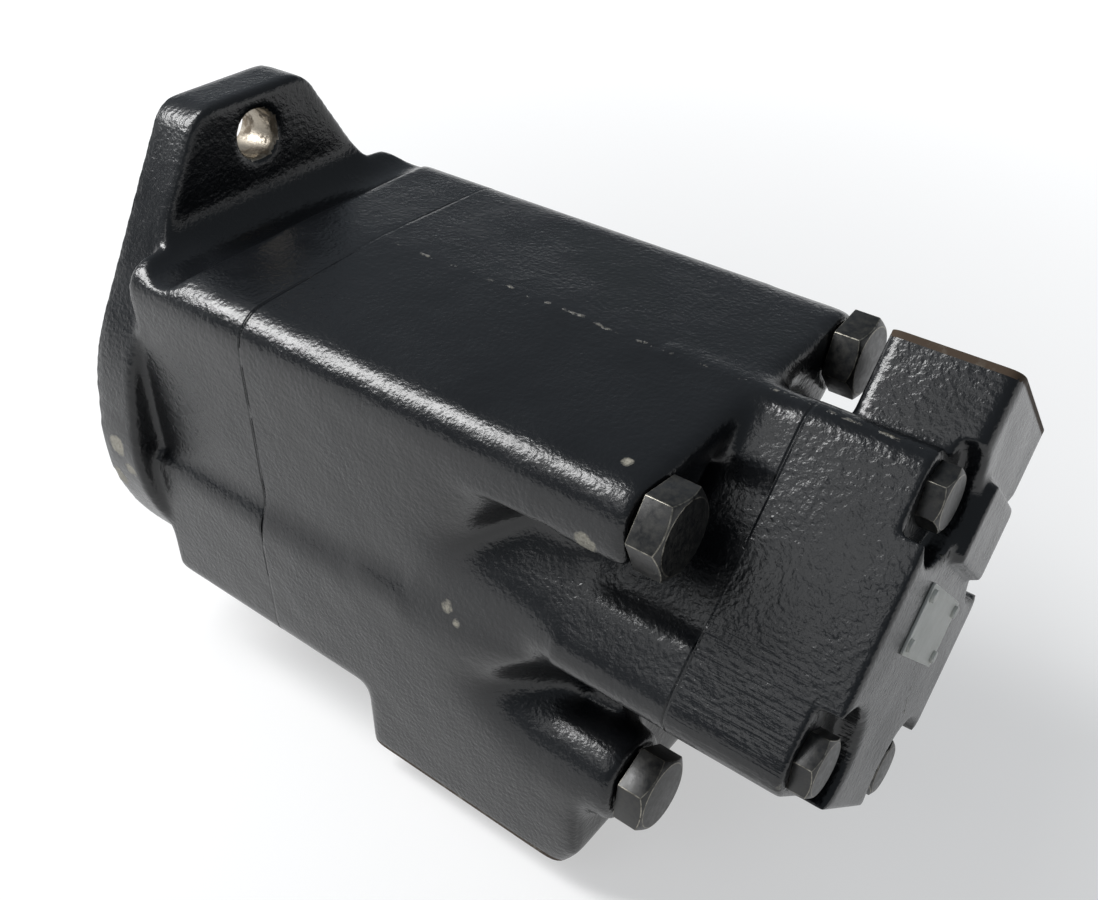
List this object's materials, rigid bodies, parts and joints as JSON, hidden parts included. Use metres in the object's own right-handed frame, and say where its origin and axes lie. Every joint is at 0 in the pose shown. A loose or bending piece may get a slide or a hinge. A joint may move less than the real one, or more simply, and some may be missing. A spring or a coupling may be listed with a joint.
{
  "type": "hydraulic vane pump",
  "caption": "Double hydraulic vane pump with a two-bolt flange, keyed shaft, underside suction port, front and rear outlet ports and two vane cartridges inside.",
  "frame": {"origin": "centre of the mounting face on the shaft axis, where the pilot meets the flange", "axes": "+X along the shaft from the mounting face to the rear cover, +Z towards the upper flange ear, suction port opens to -Z"},
  "size_m": [0.3524, 0.1584, 0.213],
  "materials": {
    "painted_casting": "gloss black paint over sand-cast iron",
    "bolt_steel": "black oxide steel under thin paint",
    "nameplate_aluminium": "satin",
    "machined_steel": "ground",
    "bronze": "turned",
    "bronze_faced_plate": "lapped",
    "rubber": "matte"
  },
  "bodies": {
    "housing": {"front_body": "painted_casting", "inlet_body": "painted_casting", "rear_cover": "painted_casting", "main_bolts": "bolt_steel", "cover_bolts": "bolt_steel", "nameplate": "nameplate_aluminium", "nameplate_pins": "nameplate_aluminium", "bearing_outer_ring": "machined_steel", "bore_snap_ring": "machined_steel", "seal_case": "machined_steel", "seal_lip": "rubber", "seal_garter_spring": "machined_steel", "front_pressure_plate": "bronze_faced_plate", "front_plate_o_ring": "rubber", "front_cam_ring": "machined_steel", "front_inlet_plate": "bronze_faced_plate", "front_dowel_pins": "machined_steel", "front_cartridge_screws": "machined_steel", "rear_pressure_plate": "bronze_faced_plate", "rear_plate_o_ring": "rubber", "rear_cam_ring": "machined_steel", "rear_inlet_plate": "bronze_faced_plate", "rear_dowel_pins": "machined_steel", "rear_cartridge_screws": "machined_steel", "rear_bushing": "bronze", "front_joint_o_ring": "rubber", "cover_joint_o_ring": "rubber"},
    "rotor_group": {"drive_shaft": "machined_steel", "shaft_key": "machined_steel", "bearing_inner_ring": "machined_steel", "shaft_snap_ring": "machined_steel", "front_rotor": "machined_steel", "front_vanes": "machined_steel", "front_vane_inserts": "machined_steel", "rear_rotor": "machined_steel", "rear_vanes": "machined_steel", "rear_vane_inserts": "machined_steel"},
    "ball_group": {"bearing_balls": "machined_steel", "bearing_cage": "bronze"}
  },
  "joints": [
    {"name": "shaft_spin", "type": "hinge", "parent": "housing", "child": "rotor_group", "pos_m": [0, 0, 0], "axis": [1, 0, 0], "continuous": true},
    {"name": "ball_spin", "type": "hinge", "parent": "housing", "child": "ball_group", "pos_m": [0, 0, 0], "axis": [1, 0, 0], "continuous": true}
  ],
  "couplings": [
    {"joint": "ball_spin", "follows": "shaft_spin", "ratio": 0.4017}
  ]
}
